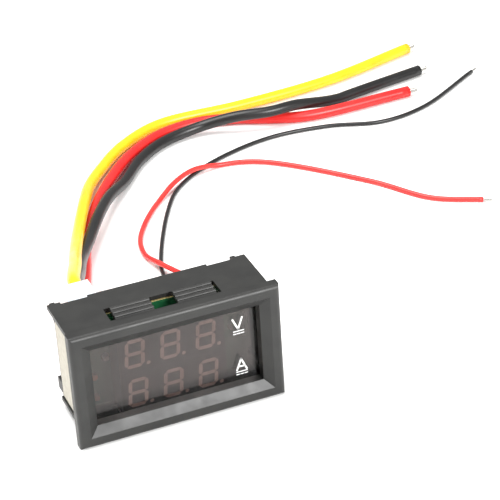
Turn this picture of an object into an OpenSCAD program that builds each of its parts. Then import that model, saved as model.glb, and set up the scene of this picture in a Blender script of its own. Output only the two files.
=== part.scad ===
// Digital panel meter for direct voltage and current: two rows of three
// seven-segment digits behind a smoked window, in a one-piece snap-in housing.
// Millimetres. X runs to the right, Y to the rear, Z up. The origin is the
// middle of the bezel's bottom edge, in the plane of the panel it seats on.

/* [Bezel] */
// Width of the bezel
bezel_w = 48; // [44:0.5:60]
// Height of the bezel
bezel_h = 28.4; // [27:0.2:36]
// Thickness of the bezel in front of the panel
bezel_t = 2.8; // [2:0.1:4]
// Radius of the bezel's front edges
bezel_edge_r = 1.1; // [0.4:0.1:1.5]
// Width of the flat rim round the window
rim_w = 2.5; // [1.5:0.1:3]
// Width of the splayed band inside the rim
splay_w = 2.1; // [1:0.1:2.4]
// Depth of the splayed band
splay_d = 1.4; // [0.6:0.1:2]

/* [Body] */
// Width of the body's top wall
body_w = 46.2; // [43:0.2:47]
// Height of the body
body_h = 25; // [24.2:0.2:27]
// Depth of the body behind the panel
body_d = 15.6; // [13:0.2:24]
// Thickness of the top and bottom walls
wall_t = 1; // [0.8:0.1:1.4]
// Thickness of the side walls
side_t = 1.2; // [0.9:0.1:1.6]
// How far the top wall stands out past each side wall
top_lip = 1.3; // [0.6:0.1:1.6]
// How far the bottom wall stands out past each side wall
bottom_lip = 0.4; // [0.2:0.1:1]
// Depth of the front wall that carries the window, behind the panel
front_wall_d = 0.8; // [0.4:0.1:1.2]
// Depth of the notches in the rear edges of the top and bottom walls
notch_d = 0.75; // [0.3:0.05:1.2]
// Width of each rear notch
notch_w = 6.2; // [3:0.1:8]
// Distance from the centre plane to the inner end of each rear notch
notch_x = 13.9; // [10:0.1:14.5]
// How far the rear fingers reach past the walls
finger_reach = 2.9; // [1:0.1:4]
// Width of each lower rear finger
lower_finger_w = 2.9; // [2:0.1:5]
// Width of each upper rear finger
upper_finger_w = 3.6; // [2:0.1:5]

/* [Panel clips] */
// Half the length of the slot that holds two clips
slot_half = 12.7; // [10:0.1:13.5]
// Distance from the panel to the slot
slot_y = 3.2; // [2:0.1:4]
// Width of the slot
slot_w = 5.2; // [4.8:0.1:7]
// Gap between the two clips
clip_gap = 5.4; // [2:0.1:7]
// Gap at the outer end of each clip
clip_end_gap = 1.1; // [0.5:0.1:2]
// Gap behind the clips
clip_rear_gap = 1; // [0.5:0.1:1.5]
// Thickness of the clips
clip_t = 0.9; // [0.6:0.1:1]
// How far the free end of a clip rises above the wall
clip_rise = 0.75; // [0.3:0.05:1]
// Radius of the grip ridges on a clip
ridge_r = 0.4; // [0.2:0.05:0.5]
// Number of grip ridges on a clip
ridge_count = 3; // [2:1:4]

/* [Window and board] */
// Thickness of the window
lens_t = 1; // [0.6:0.1:1.5]
// Play of the window and the board inside the walls
fit_gap = 0.3; // [0.1:0.05:0.5]
// Thickness of the circuit board
board_t = 1.6; // [0.8:0.2:2]
// How far the board's ledges stand in from the side walls
ledge_w = 1.1; // [0.6:0.1:1.6]
// Height of each ledge and catch
ledge_h = 3; // [2:0.1:5]
// How far the catches behind the board stand in
catch_in = 0.6; // [0.4:0.05:0.8]

/* [Displays] */
// Width of one three-digit display
display_w = 24.6; // [23:0.1:28]
// Height of one display
display_h = 9.9; // [9:0.1:9.9]
// Depth of one display
display_d = 6.1; // [5:0.1:8]
// Gap between the window and the displays
display_gap = 0.3; // [0.1:0.1:0.8]
// Gap between the lower display and the bottom wall
display_floor_gap = 0.1; // [0.05:0.05:0.5]
// Height of a digit
digit_h = 7.1; // [6:0.1:7.6]
// Width of a digit
digit_w = 4.6; // [4:0.1:5]
// Distance from digit to digit
digit_pitch = 8.2; // [7.4:0.1:8.2]
// Width of a segment
segment_w = 0.85; // [0.6:0.05:1]
// Slant of the digits in degrees
digit_slant = 5; // [0:1:12]
// Depth of a segment's light well
segment_d = 1.2; // [0.5:0.1:2]
// Radius of a decimal point
point_r = 0.45; // [0.3:0.05:0.6]
// Diameter of a display pin
display_pin_d = 0.5; // [0.4:0.05:0.6]
// Pitch of the display pins
display_pin_pitch = 2.54; // [2:0.02:3]

/* [Measuring connector] */
// Pitch of the measuring connector
measuring_pitch = 3.96; // [3.5:0.02:4.2]
// Number of measuring wires
measuring_pins = 3; // [2:1:3]
// Gap between the displays' side and the measuring pins
measuring_side_gap = 0.53; // [0.3:0.01:1]
// Height of the middle measuring pin above the body's middle
measuring_rise = 4.75; // [3:0.05:4.8]
// Height of the joined measuring connector above the board
measuring_stack = 15.4; // [14:0.1:17]
// Thickness of the measuring pins
measuring_pin_w = 1.14; // [0.8:0.02:1.2]
// Diameter of the measuring wires
measuring_wire_d = 3; // [2:0.1:3]

/* [Supply connector] */
// Pitch of the supply connector
supply_pitch = 2.5; // [2:0.1:3]
// Number of supply wires
supply_pins = 2; // [2:1:2]
// Gap between the displays' side and the supply pins
supply_side_gap = 0.73; // [0.4:0.01:1.4]
// How far the supply pins lie below the body's middle
supply_drop = 0.2; // [0:0.1:1]
// Height of the joined supply connector above the board
supply_stack = 11; // [10:0.1:13]
// Thickness of the supply pins
supply_pin_w = 0.64; // [0.5:0.02:0.7]
// Diameter of the black supply wire
supply_black_d = 1.1; // [0.8:0.1:1.4]
// Diameter of the red supply wire
supply_red_d = 1.3; // [0.8:0.1:1.4]

/* [Trimmers] */
// Width of a trimmer
trimmer_w = 3.8; // [3.4:0.1:4.4]
// Thickness of a trimmer's body
trimmer_t = 1.2; // [1:0.1:1.5]
// Radius of a trimmer's rotor
rotor_r = 1.35; // [1:0.05:1.5]
// How far the rotor stands out of the body
rotor_out = 0.45; // [0.2:0.05:0.8]
// Radius of the rotor's pivot
pivot_r = 0.5; // [0.4:0.05:0.7]
// Running clearance of the rotor
rotor_play = 0.05; // [0.03:0.01:0.08]

/* [Components] */
// Diameter of the shunt's bar
shunt_d = 1.4; // [1:0.1:2]
// Distance between the shunt's legs
shunt_span = 5.4; // [4:0.1:5.6]
// Height of the shunt above the board
shunt_h = 4; // [3:0.1:5]
// Length of a bare wire end
bare_end = 2.6; // [1:0.1:6]

/* [Hidden] */
round_fn = 48;
cut = 0.5;                                   // overshoot of a cutting solid

// Bezel and body, seen from the front
mid_z = bezel_h / 2;
front_y = -bezel_t;
window_w = bezel_w - 2 * (rim_w + splay_w);
window_h = bezel_h - 2 * (rim_w + splay_w);
core_w = body_w - 2 * top_lip;               // outside of the side walls
core_inner_w = core_w - 2 * side_t;
inner_h = body_h - 2 * wall_t;
body_bottom = mid_z - body_h / 2;
body_top = mid_z + body_h / 2;
inner_bottom = body_bottom + wall_t;
inner_top = body_top - wall_t;

label_t = 0.12;
label_margin = 0.3;

// Window, displays and board, from front to rear
lens_w = core_inner_w - 2 * fit_gap;
lens_h = inner_h - 2 * fit_gap;
lens_back = front_wall_d + lens_t;
display_front = lens_back + display_gap;
board_front = display_front + display_d;
board_back = board_front + board_t;
seam_gap = 0.05;
digit_offset = -0.3;                         // the points take up the room on the right
seam_z = inner_bottom + display_floor_gap + display_h + seam_gap / 2;
pin_row_inset = 1;                           // from a display's edge to its row of pins

// Height of the middle of a display: level is 1 for the upper one, -1 for the lower one
function display_z(level) = seam_z + level * (display_h + seam_gap) / 2;

// Connectors: the pins stand clear of the displays, whose backs touch the board
measuring_end = 1.99;                        // from the last pin to the header's end
supply_end = 1.7;
measuring_row = (measuring_pins - 1) * measuring_pitch + 2 * measuring_end;
supply_row = (supply_pins - 1) * supply_pitch + 2 * supply_end;
measuring_x = -(display_w + measuring_pin_w) / 2 - measuring_side_gap;
measuring_z = mid_z + measuring_rise;
supply_x = (display_w + supply_pin_w + (supply_pins - 1) * supply_pitch) / 2 + supply_side_gap;
supply_z = mid_z - supply_drop;
measuring_plug_back = board_back + measuring_stack;
supply_plug_back = board_back + supply_stack;
mouth_d = 2.8;                               // how far a wire goes into its plug
rotor_sink = 0.6;                            // depth of the rotor's well

// Places of the small components on the rear of the board, as [x, z]. Each
// stands between the two rows of pins of the display in front of it.
low = display_z(-1);
high = display_z(1);
top_band = high + display_h / 2 + 0.95;
voltage_trimmer_at = [3.6, low - 1.15];
current_trimmer_at = [9.4, low - 1.15];
shunt_at = [-(display_w + core_inner_w) / 4, low + 0.25];
controller_at = [-1.5, high - 0.1];
amplifier_at = [-3.2, low];
regulator_at = [6.4, high - 0.1];
diode_at = [supply_x, high + 3.3];
resistor_places = [
    for (x = [-6.8 : 2.4 : 2.8]) [x, top_band],
    for (dz = [-1.75, -0.15, 1.45]) [0.7, low + dz],
    for (dz = [-2.5, -0.7]) [-8.6, low + dz]
];
capacitor_places = [
    [5.2, low + 2.25], [8.2, low + 2.4], [10.4, high + 0.9], [-8.6, low + 1.65], [-6.6, high - 0.1]
];

// Centre lines of the wires: x, y, and the height of the underside above the
// surface that the meter stands on. Each starts in the mouth of its plug.
yellow_lay = [
    [-12.8, 29, 21.2], [-7.3, 46.5, 14.8], [-3, 61, 9],
    [3.4, 79, 4.4], [11, 97, 2.4], [15.4, 106.5, 0.7],
    [22, 115.5, 0], [31, 124.5, 0], [44, 131.5, 0], [68, 131.5, 0], [96, 134, 0], [125, 142, 0]
];
black_lay = [
    [-12.7, 29, 17.2], [-4.4, 54, 7.8], [-0.4, 65.5, 4.2],
    [5, 76, 2.8], [10.8, 86, 2.8], [17, 95.6, 2], [24.4, 104.8, 0.2], [32.4, 114.6, 0],
    [42, 121.4, 0], [53, 123.2, 0.9], [62, 119.8, 3.2], [71, 117.4, 3.6], [79, 118, 3.4],
    [94, 122, 0], [121.5, 127.3, 0]
];
red_lay = [
    [-12.6, 29, 13.1], [-7.2, 46, 4.8], [-3.4, 56, 1], [0.3, 66, 0],
    [4.2, 77.5, 0], [9, 88.5, 0], [20.4, 106.4, 0], [30.6, 118, 0],
    [42, 125.6, 0], [54, 127.4, 0], [64, 124.6, 0], [72, 120.4, 0], [82, 116.6, 0], [113, 116.7, 0]
];
supply_black_lay = [
    [13.5, 27, 12.8], [14.2, 36, 9.6], [15.3, 45.5, 4.2], [16.7, 53, 0.8], [18.2, 61, 0],
    [29, 85.5, 0], [36.5, 96.8, 0], [49, 105.5, 0], [68, 111.3, 0],
    [85, 110, 0], [99, 105.3, 0], [112.5, 107.5, 0], [135, 121, 0]
];
supply_red_lay = [
    [16.2, 27, 12.7], [18, 34, 10.4], [20, 42, 6], [20.6, 49, 3], [19.4, 55.5, 1.7],
    [17.4, 61.5, 1.3], [16.6, 68, 0.1], [17.8, 75, 0], [22, 83, 0], [29, 92, 0],
    [36.5, 98.6, 1], [43, 101.8, 1.3], [51, 103, 0], [61, 99.5, 0], [82, 76, 0],
    [92, 60.5, 0], [103, 53.5, 0]
];

// ---- Shared shapes -------------------------------------------------------

// A block that is centred in X and Z and starts at y
module slab(size, y = 0, x = 0, z = 0) {
    translate([x - size[0] / 2, y, z - size[2] / 2]) cube(size);
}

// A round bar along Y
module bar_y(r, len, at = [0, 0, 0]) {
    translate(at) rotate([-90, 0, 0]) cylinder(r = r, h = len, $fn = round_fn);
}

// Extrudes an outline drawn in Y and Z along X, centred
module along_x(len) {
    rotate([90, 0, 90]) linear_extrude(len, center = true) children();
}

// Extrudes an outline drawn in X and Y along Z, centred on a height
module along_z(len, z) {
    translate([0, 0, z]) linear_extrude(len, center = true) children();
}

// Outline from -half to +half that starts at y = 0 with two rounded corners
module rounded_front(half, deep, r) {
    translate([-half, r]) square([2 * half, deep - r]);
    translate([r - half, 0]) square([2 * (half - r), deep]);
    for (side = [-1, 1]) translate([side * (half - r), r]) circle(r, $fn = round_fn);
}

// A solid with mitred sides that narrows from front to rear
module narrowing(w, h, deep, inset, z) {
    intersection() {
        along_z(h + 2, z) polygon([
            [-w / 2, 0], [w / 2, 0], [w / 2 - inset, deep], [inset - w / 2, deep]
        ]);
        translate([0, 0, z]) along_x(w + 2) polygon([
            [0, -h / 2], [0, h / 2], [deep, h / 2 - inset], [deep, inset - h / 2]
        ]);
    }
}

// ---- Housing -------------------------------------------------------------

module bezel_block() {
    translate([0, front_y, 0]) intersection() {
        along_z(bezel_h, mid_z) rounded_front(bezel_w / 2, bezel_t, bezel_edge_r);
        translate([0, 0, mid_z]) along_x(bezel_w) rotate(90) mirror([0, 1])
            rounded_front(bezel_h / 2, bezel_t, bezel_edge_r);
    }
}

// One spring clip: a tongue that rises to its free rear end, with round ridges.
// Drawn with the outer face of its wall at z = 0.
module spring_clip(len) {
    reach = slot_w - clip_rear_gap;
    pitch = reach / (ridge_count + 0.2);
    along_x(len) {
        polygon([[-cut, -clip_t], [-cut, 0], [0, 0], [reach, clip_rise], [reach, clip_rise - clip_t], [0, -clip_t]]);
        for (i = [0 : ridge_count - 1]) {
            y = pitch * (i + 0.6);
            translate([y, clip_rise * y / reach]) circle(ridge_r, $fn = round_fn);
        }
    }
}

module clip_pair() {
    clip_len = slot_half - clip_end_gap - clip_gap / 2;
    for (side = [-1, 1])
        translate([side * (clip_gap + clip_len) / 2, slot_y, 0]) spring_clip(clip_len);
}

// Rear fingers on one side wall; the upper one is cut back at 45 degrees below
module rear_fingers(side) {
    x = side * (core_inner_w + side_t) / 2;
    slab([side_t, finger_reach + cut, lower_finger_w], body_d - cut, x, inner_bottom + 0.6 + lower_finger_w / 2);
    translate([x, body_d, inner_top - 0.5]) along_x(side_t) polygon([
        [-cut, -upper_finger_w], [0, -upper_finger_w], [finger_reach, -upper_finger_w / 2],
        [finger_reach, 0], [-cut, 0]
    ]);
}

// Ledges that hold the window forward and the board back, and the board's catches
module board_ledges(side) {
    inner_x = side * core_inner_w / 2;
    ledge_y = lens_back + 0.1;
    for (z = [inner_bottom + 3, inner_top - 3])
        slab([ledge_w, board_front - ledge_y, ledge_h], ledge_y, inner_x - side * ledge_w / 2, z);
    translate([inner_x, board_back + 0.1, mid_z - 4]) linear_extrude(ledge_h) polygon([
        [side * cut, 0], [-side * catch_in, 0], [0, 1.6], [side * cut, 1.6]
    ]);
}

module housing() {
    color([0.19, 0.19, 0.18]) {
        difference() {
            union() {
                bezel_block();
                slab([core_w, body_d + cut, body_h], -cut, 0, mid_z);
                slab([body_w, body_d + cut, wall_t], -cut, 0, body_top - wall_t / 2);
                slab([core_w + 2 * bottom_lip, body_d + cut, wall_t], -cut, 0, body_bottom + wall_t / 2);
                for (side = [-1, 1]) rear_fingers(side);
            }
            // window: splayed band, then a straight throat
            translate([0, front_y, 0])
                narrowing(bezel_w - 2 * rim_w, bezel_h - 2 * rim_w, splay_d, splay_w, mid_z);
            slab([window_w, bezel_t + front_wall_d + 1, window_h], front_y + splay_d - 0.01, 0, mid_z);
            // inside of the body
            slab([core_inner_w, body_d + 1, inner_h], front_wall_d, 0, mid_z);
            // slots for the clips, and the notches in the rear edges
            for (z = [body_top - wall_t / 2, body_bottom + wall_t / 2]) {
                slab([2 * slot_half, slot_w, wall_t + 1], slot_y, 0, z);
                for (side = [-1, 1])
                    slab([notch_w, notch_d + 1, wall_t + 1], body_d - notch_d, side * (notch_x + notch_w / 2), z);
            }
            // shallow pocket for the label
            translate([-cut, 0, 0]) label_block(cut + label_t, 0.1);
        }
        translate([0, 0, body_top]) clip_pair();
        translate([0, 0, body_bottom]) mirror([0, 0, 1]) clip_pair();
        for (side = [-1, 1]) board_ledges(side);
    }
}

// The label's block on the left side wall, or its pocket with some play round it
module label_block(thick, play) {
    slab([thick, body_d - 2 * label_margin + 2 * play, inner_h - 2 * label_margin + 2 * play],
         label_margin - play, (thick - core_w) / 2, mid_z);
}

module side_label() {
    color([0.8, 0.78, 0.73]) label_block(label_t, 0);
}

// ---- Window and displays -------------------------------------------------

module lens() {
    color([0.16, 0.15, 0.15, 0.6]) slab([lens_w, lens_t, lens_h], front_wall_d, 0, mid_z);
}

// Outline of one bar of a digit, drawn along X from its centre
module segment_bar(len) {
    h = segment_w / 2;
    polygon([[-len / 2, 0], [h - len / 2, h], [len / 2 - h, h], [len / 2, 0], [len / 2 - h, -h], [h - len / 2, -h]]);
}

// The seven bars and the point of one digit, upright, centred, in X and Y
module digit_outline() {
    reach_x = digit_w - segment_w;
    reach_y = (digit_h - segment_w) / 2;
    bar_gap = 0.12;
    for (row = [-1, 0, 1]) translate([0, row * reach_y]) segment_bar(reach_x - bar_gap);
    for (side = [-1, 1], half = [-1, 1])
        translate([side * reach_x / 2, half * reach_y / 2]) rotate(90) segment_bar(reach_y - bar_gap);
    translate([digit_w / 2 + 2 * point_r, point_r - digit_h / 2]) circle(point_r, $fn = 24);
}

// The slanted digits of one display as a solid, its front face at y = 0
module digit_row(deep) {
    lean = tan(digit_slant);
    for (i = [-1, 0, 1])
        translate([i * digit_pitch + digit_offset, 0, 0])
            multmatrix([[1, 0, lean, 0], [0, 1, 0, 0], [0, 0, 1, 0], [0, 0, 0, 1]])
                translate([0, deep, 0]) rotate([90, 0, 0]) linear_extrude(deep) digit_outline();
}

module display_block(level) {
    color([0.1, 0.1, 0.1]) difference() {
        slab([display_w, display_d, display_h], display_front, 0, display_z(level));
        translate([0, display_front - 1, display_z(level)]) digit_row(segment_d + 1);
    }
}

module display_light(level) {
    color([0.63, 0.57, 0.55])
        translate([0, display_front, display_z(level)]) digit_row(segment_d);
}

module upper_display() { display_block(1); }
module lower_display() { display_block(-1); }
module upper_segments() { display_light(1); }
module lower_segments() { display_light(-1); }

// Where a display's pins stand: two rows of six
function display_pin_places(level) = [
    for (i = [0 : 5], row = [-1, 1])
        [(i - 2.5) * display_pin_pitch, display_z(level) + row * (display_h / 2 - pin_row_inset)]
];

module display_legs(level) {
    color([0.75, 0.75, 0.72]) for (p = display_pin_places(level))
        bar_y(display_pin_d / 2, board_t + 0.8, [p[0], board_front, p[1]]);
}

module upper_display_pins() { display_legs(1); }
module lower_display_pins() { display_legs(-1); }

// ---- Board ---------------------------------------------------------------

function measuring_places() = [
    for (i = [0 : measuring_pins - 1])
        [measuring_x, measuring_z + (i - (measuring_pins - 1) / 2) * measuring_pitch]
];
function supply_places() = [
    for (i = [0 : supply_pins - 1])
        [supply_x + (i - (supply_pins - 1) / 2) * supply_pitch, supply_z]
];

module board_hole(p, r) {
    bar_y(r, board_t + 2, [p[0], board_front - 1, p[1]]);
}

module circuit_board() {
    hole_play = 0.15;
    color([0.1, 0.34, 0.2]) difference() {
        slab([lens_w, board_t, lens_h], board_front, 0, mid_z);
        for (level = [-1, 1], p = display_pin_places(level)) board_hole(p, display_pin_d / 2 + hole_play);
        for (p = measuring_places()) board_hole(p, measuring_pin_w / sqrt(2) + hole_play);
        for (p = supply_places()) board_hole(p, supply_pin_w / sqrt(2) + hole_play);
        for (side = [-1, 1]) board_hole([shunt_at[0], shunt_at[1] + side * shunt_span / 2], shunt_d / 2 + hole_play);
    }
}

// ---- Connectors ----------------------------------------------------------
// Drawn with the row along Z and the board's rear face at y = 0

header_base_t = 3.4;
plug_gap = 0.1;
post_tip = 0.6;                              // length of a pin's tapered tip

// How far a pin reaches into its plug
function pin_reach(post_h) = post_h + post_tip - header_base_t - plug_gap;

// A header: a base with the pins' holes, and a lock wall with a catch.
// The base's middle lies at -offset from the pins.
module header_block(pins, pitch, row, depth, offset, pin_w, wall_t, wall_h) {
    difference() {
        translate([-offset, 0, 0]) {
            slab([depth, header_base_t, row]);
            slab([wall_t, wall_h, row * 0.72], 0, (wall_t - depth) / 2);
            translate([wall_t - depth / 2, wall_h, 0]) linear_extrude(row * 0.5, center = true)
                polygon([[-wall_t, -1.6], [0, -1.6], [0.5, -0.6], [0, 0], [-wall_t, 0]]);
        }
        for (i = [0 : pins - 1])
            slab([pin_w, header_base_t + 2, pin_w], -1, 0, (i - (pins - 1) / 2) * pitch);
    }
}

module header_posts(pins, pitch, pin_w, post_h) {
    for (i = [0 : pins - 1]) translate([0, 0, (i - (pins - 1) / 2) * pitch]) {
        slab([pin_w, board_t + 1 + post_h, pin_w], -board_t - 1);
        translate([0, post_h, 0]) narrowing(pin_w, pin_w, post_tip, pin_w / 4, 0);
    }
}

// A plug: a shell with a square passage for each contact and a round mouth for its wire
module plug_block(pins, pitch, row, depth, plug_len, cell_w, mouth_r, lock_x) {
    difference() {
        union() {
            slab([depth, plug_len, row - 0.6]);
            for (side = [-1, 1]) slab([0.6, plug_len * 0.7, 0.9], 0, depth / 2 + 0.2, side * row * 0.28);
            slab([lock_x, 1.2, row * 0.4], plug_len * 0.55, -(depth + lock_x) / 2 + 0.01);
        }
        for (i = [0 : pins - 1]) translate([0, 0, (i - (pins - 1) / 2) * pitch]) {
            slab([cell_w, plug_len + 1 - mouth_d, cell_w], -1);
            bar_y(mouth_r, mouth_d + 1, [0, plug_len - mouth_d - 0.01, 0]);
        }
    }
}

// Crimp contacts: a square box round the pin and a round barrel to the wire
module crimp_contacts(pins, pitch, plug_len, cell_w, pin_w, pin_reach) {
    box_w = cell_w - 0.2;
    box_len = plug_len - mouth_d - 1.8;
    for (i = [0 : pins - 1]) translate([0, 0, (i - (pins - 1) / 2) * pitch]) difference() {
        union() {
            slab([box_w, box_len, box_w], 0.3);
            bar_y(box_w / 2 - 0.05, plug_len - mouth_d - 0.3, [0, 0.3, 0]);
        }
        slab([pin_w + 0.1, pin_reach + 1.3, pin_w + 0.1], -1);
    }
}

measuring_depth = 8.5;
measuring_plug_depth = 5.4;
measuring_offset = 0.55;                     // pins stand off the header's middle
measuring_wall_h = 9.6;
measuring_post_h = 8.6;
measuring_cell = 2.7;
measuring_plug_len = measuring_plug_back - board_back - header_base_t - plug_gap;

module at_measuring() { translate([measuring_x, board_back, measuring_z]) children(); }

module measuring_header() {
    color([0.88, 0.84, 0.78]) at_measuring()
        header_block(measuring_pins, measuring_pitch, measuring_row, measuring_depth,
                     measuring_offset, measuring_pin_w, 1, measuring_wall_h);
}

module measuring_header_pins() {
    color([0.75, 0.73, 0.68]) at_measuring()
        header_posts(measuring_pins, measuring_pitch, measuring_pin_w, measuring_post_h);
}

module measuring_plug() {
    color([0.9, 0.9, 0.92]) at_measuring() translate([0, header_base_t + plug_gap, 0])
        plug_block(measuring_pins, measuring_pitch, measuring_row, measuring_plug_depth, measuring_plug_len,
                   measuring_cell, measuring_wire_d / 2 + 0.1, 0.5);
}

module measuring_terminals() {
    color([0.8, 0.78, 0.72]) at_measuring() translate([0, header_base_t + plug_gap, 0])
        crimp_contacts(measuring_pins, measuring_pitch, measuring_plug_len, measuring_cell,
                       measuring_pin_w, pin_reach(measuring_post_h));
}

supply_depth = 5.8;
supply_plug_depth = 3.6;
supply_offset = 0.3;
supply_wall_h = 7;
supply_post_h = 5.6;
supply_cell = 1.8;
supply_plug_len = supply_plug_back - board_back - header_base_t - plug_gap;

module at_supply() { translate([supply_x, board_back, supply_z]) rotate([0, 90, 0]) children(); }

module supply_header() {
    color([0.9, 0.88, 0.84]) at_supply()
        header_block(supply_pins, supply_pitch, supply_row, supply_depth,
                     supply_offset, supply_pin_w, 0.8, supply_wall_h);
}

module supply_header_pins() {
    color([0.75, 0.73, 0.68]) at_supply() header_posts(supply_pins, supply_pitch, supply_pin_w, supply_post_h);
}

module supply_plug() {
    color([0.92, 0.92, 0.9]) at_supply() translate([0, header_base_t + plug_gap, 0])
        plug_block(supply_pins, supply_pitch, supply_row, supply_plug_depth, supply_plug_len,
                   supply_cell, supply_red_d / 2 + 0.1, 0.4);
}

module supply_terminals() {
    color([0.8, 0.78, 0.72]) at_supply() translate([0, header_base_t + plug_gap, 0])
        crimp_contacts(supply_pins, supply_pitch, supply_plug_len, supply_cell,
                       supply_pin_w, pin_reach(supply_post_h));
}

// ---- Trimmers ------------------------------------------------------------

module at_board(p) { translate([p[0], board_back, p[1]]) children(); }

module trimmer_body(p) {
    foot_t = 0.15;
    color([0.2, 0.3, 0.55]) at_board(p) difference() {
        union() {
            slab([trimmer_w, trimmer_t, trimmer_w * 0.95]);
            for (x = [-1, 1]) slab([0.9, foot_t, trimmer_w + 0.8], 0, x * trimmer_w * 0.28);
        }
        bar_y(rotor_r + rotor_play, 2, [0, trimmer_t - rotor_sink, 0]);
        bar_y(pivot_r + rotor_play, 3, [0, -1, 0]);
    }
}

module trimmer_rotor(p) {
    slot_cut = 0.4;
    top = trimmer_t + rotor_out;
    color([0.8, 0.72, 0.5]) at_board(p) difference() {
        union() {
            bar_y(rotor_r, top - trimmer_t + rotor_sink - rotor_play, [0, trimmer_t - rotor_sink + rotor_play, 0]);
            bar_y(pivot_r, trimmer_t - rotor_play, [0, rotor_play, 0]);
        }
        for (turn = [0, 90]) rotate([0, turn, 0]) slab([2 * rotor_r * 0.8, 1, slot_cut], top - 0.4);
    }
}

module voltage_trimmer() { trimmer_body(voltage_trimmer_at); }
module voltage_trimmer_rotor() { trimmer_rotor(voltage_trimmer_at); }
module current_trimmer() { trimmer_body(current_trimmer_at); }
module current_trimmer_rotor() { trimmer_rotor(current_trimmer_at); }

// ---- Small components ----------------------------------------------------

// A bent bar: two legs through the board, one above the other, and a straight
// bridge with round corners
module shunt() {
    bend_r = 1.4;
    leg = shunt_h - bend_r - shunt_d / 2;
    color([0.72, 0.5, 0.36]) at_board(shunt_at) rotate([0, 90, 0]) {
        for (side = [-1, 1]) {
            bar_y(shunt_d / 2, leg + board_t + 0.8, [side * shunt_span / 2, -board_t - 0.8, 0]);
            translate([side * (shunt_span / 2 - bend_r), leg, 0]) rotate([0, 0, side > 0 ? 0 : 90])
                rotate_extrude(angle = 90, $fn = round_fn) translate([bend_r, 0]) circle(shunt_d / 2, $fn = round_fn);
        }
        translate([bend_r - shunt_span / 2, leg + bend_r, 0]) rotate([0, 90, 0])
            cylinder(d = shunt_d, h = shunt_span - 2 * bend_r, $fn = round_fn);
    }
}

lead_t = 0.15;
chip_lift = 0.1;

// Moulded body with its draft shown by a chamfer along the top
module chip_body(p, w, h, t) {
    color([0.08, 0.08, 0.08]) at_board(p) translate([0, chip_lift, 0]) {
        slab([w, t * 0.5, h]);
        translate([0, t * 0.5, 0]) narrowing(w, h, t * 0.5, 0.12, 0);
    }
}

// One gull-wing lead that leaves the body at x = 0 and runs to +X
module gull_lead(w, knee_y, reach) {
    linear_extrude(w, center = true) polygon([
        [0, knee_y], [0, knee_y + lead_t], [reach * 0.45, knee_y + lead_t], [reach * 0.6, lead_t],
        [reach, lead_t], [reach, 0], [reach * 0.5, 0], [reach * 0.35, knee_y]
    ]);
}

module lead_rows(p, count, pitch, body_half, knee_y, lead_w, reach) {
    at_board(p) for (side = [0, 180], i = [0 : count - 1])
        rotate([0, side, 0]) translate([(i - (count - 1) / 2) * pitch, 0, 0]) rotate([0, -90, 0])
            translate([body_half, 0, 0]) gull_lead(lead_w, knee_y, reach);
}

module microcontroller() { chip_body(controller_at, 6.5, 4.4, 1); }
module amplifier() { chip_body(amplifier_at, 4.9, 3.9, 1.4); }
module regulator() { chip_body(regulator_at, 4.5, 2.5, 1.4); }

module chip_leads() {
    color([0.75, 0.75, 0.76]) {
        lead_rows(controller_at, 10, 0.65, 2.2, 0.5, 0.25, 1);
        lead_rows(amplifier_at, 4, 1.27, 1.95, 0.65, 0.4, 1.05);
        at_board(regulator_at) {
            for (i = [-1, 0, 1]) slab([0.45, 0.4, 1.2], 0, i * 1.5, -1.85);
            slab([1.7, 0.4, 1], 0, 0, 1.75);
        }
    }
}

// A chip resistor or capacitor with its length along X
module chip_part(p, len, w, t) {
    at_board(p) slab([len, t, w]);
}

module resistors() {
    color([0.1, 0.1, 0.11]) for (p = resistor_places) chip_part(p, 1.6, 0.8, 0.5);
}

module capacitors() {
    color([0.68, 0.58, 0.42]) for (p = capacitor_places) chip_part(p, 2, 1.25, 1);
}

module diode() {
    color([0.1, 0.1, 0.1]) at_board(diode_at) {
        narrowing(4.3, 2.6, 2, 0.2, 0);
        for (side = [-1, 1]) slab([0.8, 0.25, 1.4], 0, side * 2.4);
    }
}

// ---- Wires ---------------------------------------------------------------

wire_sides = 8;

function unit(v) = v / norm(v);

// Direction of a route at point i
function heading(path, i) =
    unit(path[min(i + 1, len(path) - 1)] - path[max(i - 1, 0)]);

// One ring of points round a route, square to its heading
function ring(path, i, r) =
    let (
        along = heading(path, i),
        across = unit(cross([0, 0, 1], along)),
        up = cross(along, across)
    )
    [for (k = [0 : wire_sides - 1])
        path[i] + r * (cos(360 * k / wire_sides) * across + sin(360 * k / wire_sides) * up)];

module tube(path, d) {
    n = len(path);
    s = wire_sides;
    points = [for (i = [0 : n - 1]) each ring(path, i, d / 2)];
    faces = concat(
        [[for (k = [0 : s - 1]) k]],
        [[for (k = [s - 1 : -1 : 0]) (n - 1) * s + k]],
        [for (i = [0 : n - 2], k = [0 : s - 1])
            [i * s + k, (i + 1) * s + k, (i + 1) * s + (k + 1) % s, i * s + (k + 1) % s]]
    );
    polyhedron(points, faces, convexity = 8);
}

// The whole route of a wire: out of the plug, then over the given points
function wire_route(start, lay, d) = concat(
    [start, start + [0, mouth_d, 0]],
    [for (p = lay) [p[0], p[1], p[2] + d / 2]]
);

// The bare end: a straight tinned strand that carries on from the insulation
module bare_tip(path, d) {
    n = len(path);
    along = unit(path[n - 1] - path[n - 2]);
    turn = atan2(along[1], along[0]);
    translate(path[n - 1]) rotate([0, 0, turn]) rotate([0, 90, 0])
        cylinder(d = d, h = bare_end, $fn = 24);
}

measuring_mouth_y = measuring_plug_back - mouth_d;
supply_mouth_y = supply_plug_back - mouth_d;

function measuring_start(i) =
    let (p = measuring_places()[measuring_pins - 1 - i]) [p[0], measuring_mouth_y, p[1]];
function supply_start(i) = let (p = supply_places()[i]) [p[0], supply_mouth_y, p[1]];

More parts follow.
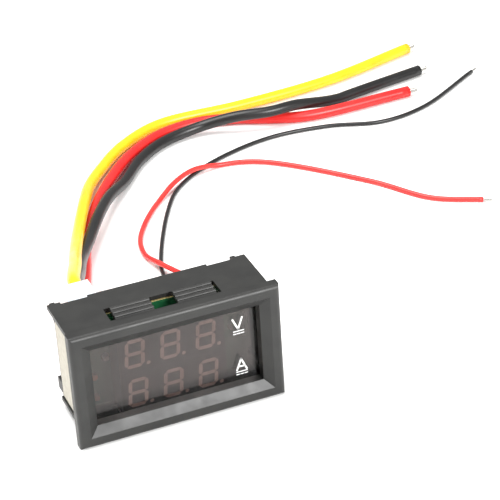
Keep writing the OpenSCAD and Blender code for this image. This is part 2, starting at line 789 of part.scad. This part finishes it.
yellow_route = wire_route(measuring_start(0), yellow_lay, measuring_wire_d);
black_route = wire_route(measuring_start(1), black_lay, measuring_wire_d);
red_route = wire_route(measuring_start(measuring_pins - 1), red_lay, measuring_wire_d);
supply_black_route = wire_route(supply_start(0), supply_black_lay, supply_black_d);
supply_red_route = wire_route(supply_start(1), supply_red_lay, supply_red_d);

module yellow_wire() { color([1, 0.84, 0.2]) tube(yellow_route, measuring_wire_d); }
module black_wire() { color([0.1, 0.1, 0.1]) tube(black_route, measuring_wire_d); }
module red_wire() { color([0.9, 0.2, 0.18]) tube(red_route, measuring_wire_d); }
module supply_black_wire() { color([0.1, 0.1, 0.1]) tube(supply_black_route, supply_black_d); }
module supply_red_wire() { color([0.95, 0.3, 0.26]) tube(supply_red_route, supply_red_d); }

tip_share = 0.5;                             // strand diameter as a share of the wire's
tin = [0.78, 0.78, 0.78];

module yellow_wire_end() { color(tin) bare_tip(yellow_route, measuring_wire_d * tip_share); }
module black_wire_end() { color(tin) bare_tip(black_route, measuring_wire_d * tip_share); }
module red_wire_end() { color(tin) bare_tip(red_route, measuring_wire_d * tip_share); }
module supply_black_wire_end() { color(tin) bare_tip(supply_black_route, supply_black_d * tip_share); }
module supply_red_wire_end() { color(tin) bare_tip(supply_red_route, supply_red_d * tip_share); }

// ---- Assembly ------------------------------------------------------------

housing();
lens();
side_label();
upper_display();
lower_display();
upper_segments();
lower_segments();
upper_display_pins();
lower_display_pins();
circuit_board();
measuring_header();
measuring_header_pins();
measuring_plug();
measuring_terminals();
supply_header();
supply_header_pins();
supply_plug();
supply_terminals();
voltage_trimmer();
voltage_trimmer_rotor();
current_trimmer();
current_trimmer_rotor();
shunt();
microcontroller();
amplifier();
regulator();
chip_leads();
resistors();
capacitors();
diode();
yellow_wire();
black_wire();
red_wire();
supply_black_wire();
supply_red_wire();
yellow_wire_end();
black_wire_end();
red_wire_end();
supply_black_wire_end();
supply_red_wire_end();
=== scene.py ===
"""Looks of a digital panel meter with plug-in measuring and supply wires.

Metres. X runs to the right, Y to the rear, Z up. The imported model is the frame:
its nodes stay where they are and get finishes, and small pieces are added on them.
"""
import math

import bpy
import numpy as np
from mathutils import Matrix, Vector


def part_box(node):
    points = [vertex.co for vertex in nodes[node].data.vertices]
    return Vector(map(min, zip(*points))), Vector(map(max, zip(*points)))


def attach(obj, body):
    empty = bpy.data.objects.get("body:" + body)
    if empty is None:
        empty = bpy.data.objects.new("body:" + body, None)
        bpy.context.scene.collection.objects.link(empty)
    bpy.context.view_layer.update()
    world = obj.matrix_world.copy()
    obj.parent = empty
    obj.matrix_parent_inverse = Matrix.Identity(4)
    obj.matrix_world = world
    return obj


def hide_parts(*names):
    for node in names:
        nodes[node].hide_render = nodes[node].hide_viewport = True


MM = 0.001
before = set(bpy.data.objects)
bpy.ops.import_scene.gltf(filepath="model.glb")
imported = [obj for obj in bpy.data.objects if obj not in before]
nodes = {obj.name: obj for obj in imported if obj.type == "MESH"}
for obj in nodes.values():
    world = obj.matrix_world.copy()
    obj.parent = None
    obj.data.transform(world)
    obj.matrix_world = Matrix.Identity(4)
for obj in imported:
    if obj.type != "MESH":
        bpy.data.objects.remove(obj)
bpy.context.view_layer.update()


# ---- Camera ----------------------------------------------------------------

# The camera's place, its three directions, and its lens in millimetres
CAMERA_AT = (-0.11799, -0.36293, 0.26484)
RIGHT = Vector((0.92193, -0.38324, -0.05639))
DOWN = Vector((-0.24404, -0.46156, -0.85288))
AHEAD = Vector((0.30083, 0.80006, -0.51905))
LENS_LENGTH = 151.89
SENSOR_WIDTH = 36
# How far the picture is shifted, as shares of its width
SHIFT_RIGHT = -0.0023
SHIFT_UP = 0.0624


def add_camera():
    """The camera that the picture is taken with."""
    data = bpy.data.cameras.new("camera")
    data.sensor_width = SENSOR_WIDTH
    data.lens = LENS_LENGTH
    data.shift_x = SHIFT_RIGHT
    data.shift_y = SHIFT_UP
    data.clip_start = 0.02
    data.clip_end = 20
    camera = bpy.data.objects.new("camera", data)
    bpy.context.collection.objects.link(camera)
    turn = Matrix((RIGHT, -DOWN, -AHEAD)).transposed()
    camera.matrix_world = Matrix.Translation(CAMERA_AT) @ turn.to_4x4()
    bpy.context.scene.camera = camera


add_camera()

# ---- Finishes --------------------------------------------------------------


def colour(code):
    """Linear colour of an sRGB hex code."""
    parts = [int(code[i:i + 2], 16) / 255 for i in (0, 2, 4)]
    return [c / 12.92 if c <= 0.04045 else ((c + 0.055) / 1.055) ** 2.4 for c in parts] + [1]


def add(tree, kind, values=None, **settings):
    """One shader node. A value that is a socket is linked, any other is set."""
    made = tree.nodes.new(kind)
    for key, value in settings.items():
        setattr(made, key, value)
    for key, value in (values or {}).items():
        socket = made.inputs[key]
        if isinstance(value, bpy.types.NodeSocket):
            tree.links.new(value, socket)
        else:
            socket.default_value = value
    return made


def blank(name):
    """A new material and its empty node tree."""
    material = bpy.data.materials.new(name)
    material.use_nodes = True
    material.node_tree.nodes.clear()
    return material, material.node_tree


def place(tree):
    """Position in metres: the nodes' origins lie at the frame's origin."""
    return add(tree, "ShaderNodeTexCoord").outputs["Object"]


def noise(tree, size_mm, detail=2, at=None):
    """Noise whose features are about size_mm across, from 0 to 1."""
    values = {"Scale": 1 / (size_mm * MM), "Detail": detail, "Vector": at or place(tree)}
    return add(tree, "ShaderNodeTexNoise", values).outputs["Fac"]


def span(tree, value, low, high, start=0.3, end=0.7):
    """Maps a value from start..end to low..high."""
    values = {"Value": value, "From Min": start, "From Max": end, "To Min": low, "To Max": high}
    return add(tree, "ShaderNodeMapRange", values).outputs["Result"]


def blend(tree, amount, first, second):
    """Colour mixed from two colours."""
    factor, colour_a, colour_b, colour_out = 0, 6, 7, 2     # sockets of the node's colour mode
    values = {factor: amount, colour_a: first, colour_b: second}
    return add(tree, "ShaderNodeMix", values, data_type="RGBA").outputs[colour_out]


def finish(name, light, dark, rough, mottle_mm=3, grain_mm=0.2, grain_h=0.004, edge_mm=0.08, **extra):
    """An opaque finish: two near colours mottled together, uneven gloss, a fine
    grain of the given size and height in millimetres, and edges that catch the
    light. Extra settings name sockets of the shader."""
    material, tree = blank(name)
    tint = blend(tree, span(tree, noise(tree, mottle_mm, 4), 0, 1), colour(dark), colour(light))
    gloss = span(tree, noise(tree, mottle_mm * 0.6, 3), rough * 0.88, rough * 1.12)
    edge = add(tree, "ShaderNodeBevel", {"Radius": edge_mm * MM}, samples=4).outputs["Normal"]
    bump = {"Height": noise(tree, grain_mm, 3), "Strength": 1, "Distance": grain_h * MM, "Normal": edge}
    normal = add(tree, "ShaderNodeBump", bump).outputs["Normal"]
    values = {"Base Color": tint, "Roughness": gloss, "Normal": normal}
    values.update({key.replace("_", " "): value for key, value in extra.items()})
    shader = add(tree, "ShaderNodeBsdfPrincipled", values)
    add(tree, "ShaderNodeOutputMaterial", {"Surface": shader.outputs[0]})
    return material


# Injection-moulded black plastic from a spark-eroded mould: an even fine grain
HOUSING = finish("housing_moulded_plastic", "262624", "1d1d1c", 0.42, 5, 0.16, 0.012, 0.12)
# Paper label, matt, faintly mottled by its fibres
LABEL = finish("label_paper", "d2cdc0", "c2bcae", 0.85, 1.2, 0.1, 0.004, 0.01)
# Display case, black moulded plastic with a printed matt face
DISPLAY = finish("display_case_plastic", "151514", "0e0e0e", 0.6, 2, 0.12, 0.004, 0.05)
# Milky diffuser cast into each segment's well
SEGMENT = finish("segment_cast_diffuser", "e2d2cb", "d6c4bd", 0.5, 0.8, 0.1, 0.002, 0.02)
# Tin-plated pins and terminals, drawn and stamped
TIN = finish("pin_tin_plate", "c9c7c0", "b4b1a8", 0.32, 0.8, 0.06, 0.002, 0.04, Metallic=1.0)
# Natural nylon header, slightly creamy
HEADER = finish("header_natural_nylon", "ece3d0", "e0d5c0", 0.45, 2, 0.1, 0.004, 0.1, Subsurface_Weight=0.15)
# White nylon plug
PLUG = finish("plug_white_nylon", "eceef0", "e2e4e7", 0.4, 2, 0.1, 0.004, 0.1, Subsurface_Weight=0.15)
# Trimmer case, blue moulded plastic
TRIMMER = finish("trimmer_blue_case", "2f55a6", "284a94", 0.35, 1, 0.08, 0.003, 0.06)
# Trimmer rotor, turned and plated
ROTOR = finish("trimmer_rotor_plated", "d8cfa8", "c6bb92", 0.35, 0.6, 0.05, 0.002, 0.03, Metallic=1.0)
# Resistance alloy bar, drawn, dull from soldering heat
SHUNT = finish("shunt_drawn_alloy", "b5805a", "96684a", 0.4, 1.2, 0.08, 0.004, 0.05, Metallic=1.0)
# Chip bodies of moulded epoxy
CHIP = finish("chip_moulded_epoxy", "1b1b1c", "151516", 0.55, 1, 0.06, 0.006, 0.05)
# Chip resistors: black glaze over ceramic
GLAZE = finish("resistor_black_glaze", "161618", "101012", 0.25, 0.5, 0.1, 0.002, 0.04)
# Chip capacitors: fired tan ceramic
CERAMIC = finish("capacitor_tan_ceramic", "b39a74", "a58b66", 0.5, 0.5, 0.08, 0.003, 0.04)
# Solder that has wetted pins and pads
SOLDER = finish("solder_bright", "d5d5d2", "bcbcb9", 0.22, 0.5, 0.2, 0.006, 0.02, Metallic=1.0)
# Soft insulation extruded over strands: smooth and slightly waxy
YELLOW = finish(
    "wire_yellow_insulation", "ffc61c", "f7b512", 0.34, 6, 0.5, 0.006, 0.02, Subsurface_Weight=0.1)
BLACK = finish("wire_black_insulation", "1c1c1c", "141414", 0.34, 6, 0.5, 0.006, 0.02)
RED = finish("wire_red_insulation", "e32a26", "d81f1f", 0.34, 6, 0.5, 0.006, 0.02, Subsurface_Weight=0.1)
THIN_RED = finish("wire_thin_red_insulation", "f03a34", "e22a28", 0.34, 6, 0.4, 0.004, 0.02)
# Tinned copper strands
STRAND = finish("strand_tinned_copper", "d2d0cc", "b9b6b0", 0.3, 0.5, 0.05, 0.003, 0.02, Metallic=1.0)
# White screen-printed ink, a little uneven in thickness
INK = finish("print_white_ink", "f4f4f2", "e4e4e2", 0.6, 0.5, 0.06, 0.003, 0.01)


def board_finish():
    """Glass-epoxy laminate: green solder mask on the faces, bare tan at the edges."""
    material, tree = blank("board_green_solder_mask")
    mask = blend(tree, span(tree, noise(tree, 1.5, 3), 0, 1), colour("16502f"), colour("1c5c37"))
    wave = {"Scale": 1 / (2.2 * MM), "Distortion": 0.6, "Vector": place(tree)}
    weave = add(tree, "ShaderNodeTexWave", wave)
    edge = blend(tree, span(tree, weave.outputs["Fac"], 0, 1), colour("b7a772"), colour("9f8f5c"))
    normal = add(tree, "ShaderNodeNewGeometry").outputs["Normal"]
    facing = add(tree, "ShaderNodeSeparateXYZ", {"Vector": normal}).outputs["Y"]
    size = add(tree, "ShaderNodeMath", {0: facing}, operation="ABSOLUTE").outputs[0]
    flat = span(tree, size, 0, 1, 0.6, 0.7)
    tint = blend(tree, flat, edge, mask)
    rough = span(tree, flat, 0.75, 0.28, 0, 1)
    bump = {"Height": noise(tree, 0.6, 3), "Strength": 1, "Distance": 0.004 * MM}
    wavy = add(tree, "ShaderNodeBump", bump).outputs["Normal"]
    values = {"Base Color": tint, "Roughness": rough, "Normal": wavy}
    shader = add(tree, "ShaderNodeBsdfPrincipled", values)
    add(tree, "ShaderNodeOutputMaterial", {"Surface": shader.outputs[0]})
    return material


def window_finish():
    """Smoked acrylic sheet: it dims what is behind it and mirrors a little of the room."""
    material, tree = blank("window_smoked_acrylic")
    fog = span(tree, noise(tree, 9, 3), 0, 1)
    smoke = blend(tree, fog, colour("d2cac8"), colour("ccc3c0"))
    clear = add(tree, "ShaderNodeBsdfTransparent", {"Color": smoke})
    haze = span(tree, noise(tree, 2.5, 5), 0.1, 0.2)
    bump = {"Height": noise(tree, 4, 2), "Strength": 1, "Distance": 0.01 * MM}
    wavy = add(tree, "ShaderNodeBump", bump).outputs["Normal"]
    shine = add(tree, "ShaderNodeBsdfGlossy", {"Color": (1, 1, 1, 1), "Roughness": haze, "Normal": wavy})
    share = add(tree, "ShaderNodeFresnel", {"IOR": 1.49, "Normal": wavy}).outputs[0]
    both = add(tree, "ShaderNodeMixShader", {0: share, 1: clear.outputs[0], 2: shine.outputs[0]})
    add(tree, "ShaderNodeOutputMaterial", {"Surface": both.outputs[0]})
    return material


BOARD = board_finish()
WINDOW = window_finish()

FINISH_OF = {
    HOUSING: ["housing"],
    WINDOW: ["lens"],
    LABEL: ["side_label"],
    DISPLAY: ["upper_display", "lower_display"],
    SEGMENT: ["upper_segments", "lower_segments"],
    TIN: [
        "upper_display_pins", "lower_display_pins", "measuring_header_pins", "measuring_terminals",
        "supply_header_pins", "supply_terminals", "chip_leads",
    ],
    BOARD: ["circuit_board"],
    HEADER: ["measuring_header", "supply_header"],
    PLUG: ["measuring_plug", "supply_plug"],
    TRIMMER: ["voltage_trimmer", "current_trimmer"],
    ROTOR: ["voltage_trimmer_rotor", "current_trimmer_rotor"],
    SHUNT: ["shunt"],
    CHIP: ["microcontroller", "amplifier", "regulator", "diode"],
    GLAZE: ["resistors"],
    CERAMIC: ["capacitors"],
}


def paint(piece, material):
    """One finish for the whole piece."""
    piece.data.materials.clear()
    piece.data.materials.append(material)


for material, names in FINISH_OF.items():
    for name in names:
        paint(nodes[name], material)

# ---- Building pieces ---------------------------------------------------------


def piece(name, mesh, material, smooth=False):
    """A new piece from (points, faces), painted and riding on the meter."""
    points, faces = mesh
    data = bpy.data.meshes.new(name)
    data.from_pydata([tuple(p) for p in points], [], faces)
    data.update()
    if smooth:
        for face in data.polygons:
            face.use_smooth = True
    made = bpy.data.objects.new(name, data)
    bpy.context.collection.objects.link(made)
    made.data.materials.append(material)
    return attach(made, "meter")


def smooth_route(points, steps=12):
    """A centripetal spline through the points."""
    p = np.array(points, float)
    q = np.vstack([2 * p[0] - p[1], p, 2 * p[-1] - p[-2]])
    out = []
    for i in range(1, len(q) - 2):
        a, b, c, d = q[i - 1:i + 3]
        t = [0.0]
        for one, two in ((a, b), (b, c), (c, d)):
            t.append(t[-1] + np.linalg.norm(two - one) ** 0.5)
        for s in np.linspace(t[1], t[2], steps, endpoint=False):
            ab = (a * (t[1] - s) + b * (s - t[0])) / (t[1] - t[0])
            bc = (b * (t[2] - s) + c * (s - t[1])) / (t[2] - t[1])
            cd = (c * (t[3] - s) + d * (s - t[2])) / (t[3] - t[2])
            abc = (ab * (t[2] - s) + bc * (s - t[0])) / (t[2] - t[0])
            bcd = (bc * (t[3] - s) + cd * (s - t[1])) / (t[3] - t[1])
            out.append((abc * (t[2] - s) + bcd * (s - t[1])) / (t[2] - t[1]))
    out.append(p[-1])
    return np.array(out)


def frames(path):
    """Heading, side and upper direction at each point of a path, without twist."""
    p = np.array(path, float)
    along = np.gradient(p, axis=0)
    along /= np.linalg.norm(along, axis=1)[:, None]
    side = np.cross((0, 0, 1), along[0])
    if np.linalg.norm(side) < 1e-6:
        side = np.array((1.0, 0, 0))
    out = []
    for direction in along:
        side = side - direction * side.dot(direction)
        side /= np.linalg.norm(side)
        out.append((direction, side, np.cross(direction, side)))
    return out


def tube(path, radii, sides=16):
    """Points and faces of a closed tube along a path, with a radius at each point."""
    points = []
    for centre, radius, (_, side, up) in zip(path, radii, frames(path)):
        for k in range(sides):
            angle = 2 * math.pi * k / sides
            points.append(centre + radius * (math.cos(angle) * side + math.sin(angle) * up))
    faces = []
    for i in range(len(path) - 1):
        for k in range(sides):
            one, two = i * sides + k, i * sides + (k + 1) % sides
            faces.append((one, two, two + sides, one + sides))
    faces.append(tuple(range(sides - 1, -1, -1)))
    faces.append(tuple(range((len(path) - 1) * sides, len(path) * sides)))
    return points, faces


# ---- Wires -------------------------------------------------------------------

# Routes as in the part's source: x, y and the height of the underside, in metres
LAYS = {
    "yellow_wire": [
        (-0.0128, 0.029, 0.0212), (-0.0073, 0.0465, 0.0148), (-0.003, 0.061, 0.009),
        (0.0034, 0.079, 0.0044), (0.011, 0.097, 0.0024), (0.0154, 0.1065, 0.0007),
        (0.022, 0.1155, 0), (0.031, 0.1245, 0), (0.044, 0.1315, 0), (0.068, 0.1315, 0),
        (0.096, 0.134, 0), (0.125, 0.142, 0),
    ],
    "black_wire": [
        (-0.0127, 0.029, 0.0172), (-0.0044, 0.054, 0.0078), (-0.0004, 0.0655, 0.0042),
        (0.005, 0.076, 0.0028), (0.0108, 0.086, 0.0028), (0.017, 0.0956, 0.002),
        (0.0244, 0.1048, 0.0002), (0.0324, 0.1146, 0), (0.042, 0.1214, 0),
        (0.053, 0.1232, 0.0009), (0.062, 0.1198, 0.0032), (0.071, 0.1174, 0.0036),
        (0.079, 0.118, 0.0034), (0.094, 0.122, 0), (0.1215, 0.1273, 0),
    ],
    "red_wire": [
        (-0.0126, 0.029, 0.0131), (-0.0072, 0.046, 0.0048), (-0.0034, 0.056, 0.001),
        (0.0003, 0.066, 0), (0.0042, 0.0775, 0), (0.009, 0.0885, 0), (0.0204, 0.1064, 0),
        (0.0306, 0.118, 0), (0.042, 0.1256, 0), (0.054, 0.1274, 0), (0.064, 0.1246, 0),
        (0.072, 0.1204, 0), (0.082, 0.1166, 0), (0.113, 0.1167, 0),
    ],
    "supply_black_wire": [
        (0.0135, 0.027, 0.0128), (0.0142, 0.036, 0.0096), (0.0153, 0.0455, 0.0042),
        (0.0167, 0.053, 0.0008), (0.0182, 0.061, 0), (0.029, 0.0855, 0), (0.0365, 0.0968, 0),
        (0.049, 0.1055, 0), (0.068, 0.1113, 0), (0.085, 0.11, 0), (0.099, 0.1053, 0),
        (0.1125, 0.1075, 0), (0.135, 0.121, 0),
    ],
    "supply_red_wire": [
        (0.0162, 0.027, 0.0127), (0.018, 0.034, 0.0104), (0.02, 0.042, 0.006),
        (0.0206, 0.049, 0.003), (0.0194, 0.0555, 0.0017), (0.0174, 0.0615, 0.0013),
        (0.0166, 0.068, 0.0001), (0.0178, 0.075, 0), (0.022, 0.083, 0), (0.029, 0.092, 0),
        (0.0365, 0.0986, 0.001), (0.043, 0.1018, 0.0013), (0.051, 0.103, 0),
        (0.061, 0.0995, 0), (0.082, 0.076, 0), (0.092, 0.0605, 0), (0.103, 0.0535, 0),
    ],
}

MOUTH = 2.8 * MM                # how far a wire goes into its plug
MEASURING_PITCH = 3.96 * MM
SUPPLY_PITCH = 2.5 * MM
BARE_END = 2.5 * MM


def middle(node):
    """The middle of a node's box."""
    low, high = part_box(node)
    return (low + high) / 2


measuring_x = middle("measuring_header_pins").x
measuring_z = middle("measuring_plug").z
supply_x = middle("supply_header_pins").x
supply_z = middle("supply_header_pins").z
WIRES = [
    # node, finish, diameter, plug, first point's x and z
    ("yellow_wire", YELLOW, 0.003, "measuring_plug", measuring_x, measuring_z + MEASURING_PITCH),
    ("black_wire", BLACK, 0.003, "measuring_plug", measuring_x, measuring_z),
    ("red_wire", RED, 0.003, "measuring_plug", measuring_x, measuring_z - MEASURING_PITCH),
    ("supply_black_wire", BLACK, 0.0011, "supply_plug", supply_x - SUPPLY_PITCH / 2, supply_z),
    ("supply_red_wire", THIN_RED, 0.0013, "supply_plug", supply_x + SUPPLY_PITCH / 2, supply_z),
]


def joined(parts):
    """One (points, faces) from several."""
    points, faces = [], []
    for more_points, more_faces in parts:
        faces += [tuple(i + len(points) for i in face) for face in more_faces]
        points += more_points
    return points, faces


def strands(tip, heading, reach, radius, count=7, steps=14):
    """Twisted strands of a bare wire end, one in the middle and the rest round it."""
    size = radius / 3
    turns = 0.45                # how far the bundle twists over its length
    tighter = 0.12              # how much closer the strands lie at the tip
    radii = [size] * (steps - 1) + [size * 0.7]
    _, side, up = frames([tip, tip + heading])[0]
    parts = []
    for k in range(count):
        path = []
        for s in np.linspace(0, 1, steps):
            away = 0 if k == 0 else 2 * size * (1 - tighter * s)
            angle = 2 * math.pi * (k / (count - 1) + turns * s)
            path.append(tip + heading * reach * s + away * (math.cos(angle) * side + math.sin(angle) * up))
        parts.append(tube(path, radii, 8))
    return joined(parts)


def add_wire(node, material, width, plug, start_x, start_z):
    """A wire's smooth sheath and the strands of its bare end."""
    plug_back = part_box(plug)[1].y
    start = (start_x, plug_back - MOUTH, start_z)
    radius = width / 2
    points = [start, (start_x, plug_back, start_z)]
    points += [(x, y, z + radius) for x, y, z in LAYS[node]]
    path = smooth_route(points)
    path[:, 2] = np.maximum(path[:, 2], radius)
    sheath = piece(node + "_sheath", tube(path, np.full(len(path), radius)), material, smooth=True)
    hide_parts(node)
    heading = path[-1] - path[-2]
    heading[2] = 0
    heading /= np.linalg.norm(heading)
    bundle = strands(path[-1], heading, BARE_END, radius / 2)
    core = piece(node + "_strands", bundle, STRAND, smooth=True)
    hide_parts(node + "_end")


for wire in WIRES:
    add_wire(*wire)

# ---- Marks on the window -------------------------------------------------------

window_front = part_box("lens")[0].y
INK_THICK = 0.02 * MM
INK_GAP = 0.005 * MM            # keeps the print clear of the window's face


def stroke(start, end, width):
    """A printed line between two [x, z] points, in millimetres, as a thin raised band."""
    (x1, z1), (x2, z2) = start, end
    along = Vector((x2 - x1, z2 - z1)).normalized()
    across = Vector((-along.y, along.x)) * width / 2
    tail = along * width / 2
    ring = [
        (x1 - tail.x + across.x, z1 - tail.y + across.y),
        (x2 + tail.x + across.x, z2 + tail.y + across.y),
        (x2 + tail.x - across.x, z2 + tail.y - across.y),
        (x1 - tail.x - across.x, z1 - tail.y - across.y),
    ]
    back = window_front - INK_GAP
    points = [(x * MM, y, z * MM) for y in (back, back - INK_THICK) for x, z in ring]
    faces = [(0, 1, 2, 3), (7, 6, 5, 4)] + [(k, k + 4, (k + 1) % 4 + 4, (k + 1) % 4) for k in range(4)]
    return points, faces


def sign(name, lines, width=0.42):
    """A printed sign: each line runs through [x, z] points in millimetres."""
    parts = [stroke(start, end, width) for line in lines for start, end in zip(line, line[1:])]
    return piece(name, joined(parts), INK)


def direct_current(x1, x2, z):
    """A full line over three dashes: the sign for direct current."""
    drop = 0.66
    step = 1.7                  # from dash to dash, in dashes
    dash = (x2 - x1) / (2 * step + 1)
    starts = [x1 + i * step * dash for i in range(3)]
    return [[(x1, z), (x2, z)]] + [[(x, z - drop), (x + dash, z - drop)] for x in starts]


sign("volt_sign", [[(13.85, 20.35), (15.0, 17.75), (16.05, 20.5)]])
sign("volt_direct_sign", direct_current(13.9, 16.25, 17.25), 0.24)
sign("ampere_sign", [[(14.1, 7.25), (15.2, 9.95), (16.4, 7.15)], [(14.6, 8.05), (15.95, 8.0)]])
sign("ampere_direct_sign", direct_current(14.0, 16.5, 6.7), 0.24)

# ---- Floor and light -----------------------------------------------------------


METER_MIDDLE = Vector((0.02, 0.03, 0.01))   # what the lights face


def add_floor():
    """A pale floor just below the meter and its wires."""
    half, low = 4, -0.00005
    material, tree = blank("floor_pale")
    values = {"Base Color": colour("f2f2f1"), "Roughness": 0.9}
    shader = add(tree, "ShaderNodeBsdfPrincipled", values)
    add(tree, "ShaderNodeOutputMaterial", {"Surface": shader.outputs[0]})
    data = bpy.data.meshes.new("floor")
    corner_points = [(-half, -half, low), (half, -half, low), (half, half, low), (-half, half, low)]
    data.from_pydata(corner_points, [], [(0, 1, 2, 3)])
    floor = bpy.data.objects.new("floor", data)
    bpy.context.collection.objects.link(floor)
    floor.data.materials.append(material)


def add_light(name, toward, distance, size, power):
    """A soft square light, at a distance from the meter along a direction, facing it."""
    data = bpy.data.lights.new(name, "AREA")
    data.shape = "SQUARE"
    data.size = size
    data.energy = power
    light = bpy.data.objects.new(name, data)
    bpy.context.collection.objects.link(light)
    way = Vector(toward).normalized()
    light.location = METER_MIDDLE + way * distance
    light.rotation_euler = way.to_track_quat("Z", "Y").to_euler()


def add_room():
    """An even white surround."""
    world = bpy.data.worlds.new("room")
    bpy.context.scene.world = world
    world.use_nodes = True
    world.node_tree.nodes.clear()
    sky = add(world.node_tree, "ShaderNodeBackground", {"Color": (1, 1, 1, 1), "Strength": 0.55})
    add(world.node_tree, "ShaderNodeOutputWorld", {"Surface": sky.outputs[0]})


add_floor()
add_room()
add_light("front_softbox", (0.3, -0.78, 0.53), 0.9, 0.35, 9)
add_light("top_softbox", (-0.25, 0.15, 0.95), 1.0, 0.8, 14)
bpy.context.scene.view_settings.view_transform = "Standard"
